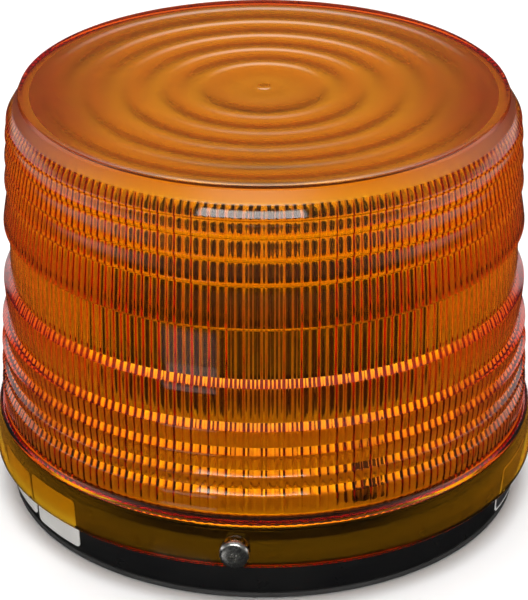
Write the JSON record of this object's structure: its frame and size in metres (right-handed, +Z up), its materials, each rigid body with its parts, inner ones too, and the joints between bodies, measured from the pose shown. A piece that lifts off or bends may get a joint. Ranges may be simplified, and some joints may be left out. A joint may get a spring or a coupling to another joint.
{
  "type": "warning light",
  "caption": "Round amber strobe warning light: ribbed clear dome over a short black base, with flash tube, socket and power supply inside.",
  "frame": {"origin": "middle of the mounting face, under the dome", "axes": "+Z up along the dome's axis, -Y is the front with the visible lens screw, +X to its right"},
  "size_m": [0.1714, 0.1739, 0.132],
  "materials": {
    "lens_amber": "clear moulded, polished",
    "base_black": "satin, moulded",
    "screw_steel": "zinc plated",
    "small_steel": "zinc plated",
    "insert_brass": "turned",
    "gasket_rubber": "matte",
    "label_silver": "blank silver sticker",
    "label_dark": "blank dark sticker with a pale border",
    "deck_aluminium": "polished",
    "standoff_aluminium": "turned",
    "heat_sink_black": "black anodised",
    "pedestal_white": "moulded",
    "socket_phenolic": "moulded",
    "tube_glass": "clear",
    "pin_nickel": "nickel plated",
    "lead_insulation": "silicone insulation",
    "board_laminate": "solder mask",
    "ferrite": "sintered",
    "copper": "enamelled copper wire",
    "capacitor_sleeve": "shrink sleeve",
    "capacitor_case": "dipped",
    "component_black": "moulded epoxy",
    "resistor_tan": "lacquered",
    "fuse_glass": "glass with plated ends",
    "clip_tin": "tin plated",
    "terminal_green": "moulded"
  },
  "bodies": {
    "root": {"base_housing": "base_black", "deck_screw_1": "small_steel", "deck_screw_2": "small_steel", "deck_screw_3": "small_steel", "board_screw_1": "small_steel", "board_screw_2": "small_steel", "board_screw_3": "small_steel", "board_screw_4": "small_steel", "pedestal_screw_1": "small_steel", "pedestal_screw_2": "small_steel", "mounting_sleeve_1": "small_steel", "mounting_sleeve_2": "small_steel", "mounting_sleeve_3": "small_steel", "threaded_insert_1": "insert_brass", "threaded_insert_2": "insert_brass", "threaded_insert_3": "insert_brass", "lens_gasket": "gasket_rubber", "mounting_gasket": "gasket_rubber", "wire_grommet": "gasket_rubber", "rating_label": "label_silver", "date_label": "label_silver", "hazard_label": "label_dark", "reflector_deck": "deck_aluminium", "deck_standoff_1": "standoff_aluminium", "deck_standoff_2": "standoff_aluminium", "deck_standoff_3": "standoff_aluminium", "heat_sink": "heat_sink_black", "lamp_pedestal": "pedestal_white", "tube_socket": "socket_phenolic", "flash_tube": "tube_glass", "anode_pin": "pin_nickel", "cathode_pin": "pin_nickel", "trigger_pin": "pin_nickel", "trigger_wire": "pin_nickel", "anode_lead": "lead_insulation", "cathode_lead": "lead_insulation", "trigger_lead": "lead_insulation", "circuit_board": "board_laminate", "transformer_core": "ferrite", "transformer_winding": "copper", "storage_capacitor": "capacitor_sleeve", "input_capacitor": "capacitor_sleeve", "trigger_capacitor": "capacitor_case", "switching_transistor": "component_black", "timing_chip": "component_black", "rectifier_diode": "component_black", "trigger_coil": "component_black", "power_resistor_1": "resistor_tan", "power_resistor_2": "resistor_tan", "fuse": "fuse_glass", "fuse_clip_1": "clip_tin", "fuse_clip_2": "clip_tin", "terminal_block": "terminal_green"},
    "lens": {"lens_dome": "lens_amber"},
    "screw_1": {"lens_screw_1": "screw_steel"},
    "screw_2": {"lens_screw_2": "screw_steel"},
    "screw_3": {"lens_screw_3": "screw_steel"}
  },
  "joints": [
    {"name": "lens_lift", "type": "slide", "parent": "root", "child": "lens", "axis": [0, 0, 1], "range_m": [0, 0.1]},
    {"name": "lens_screw_1_out", "type": "slide", "parent": "root", "child": "screw_1", "axis": [-0.1011, -0.9949, 0], "range_m": [0, 0.016]},
    {"name": "lens_screw_2_out", "type": "slide", "parent": "root", "child": "screw_2", "axis": [0.9121, 0.4099, 0], "range_m": [0, 0.016]},
    {"name": "lens_screw_3_out", "type": "slide", "parent": "root", "child": "screw_3", "axis": [-0.8111, 0.585, 0], "range_m": [0, 0.016]}
  ]
}
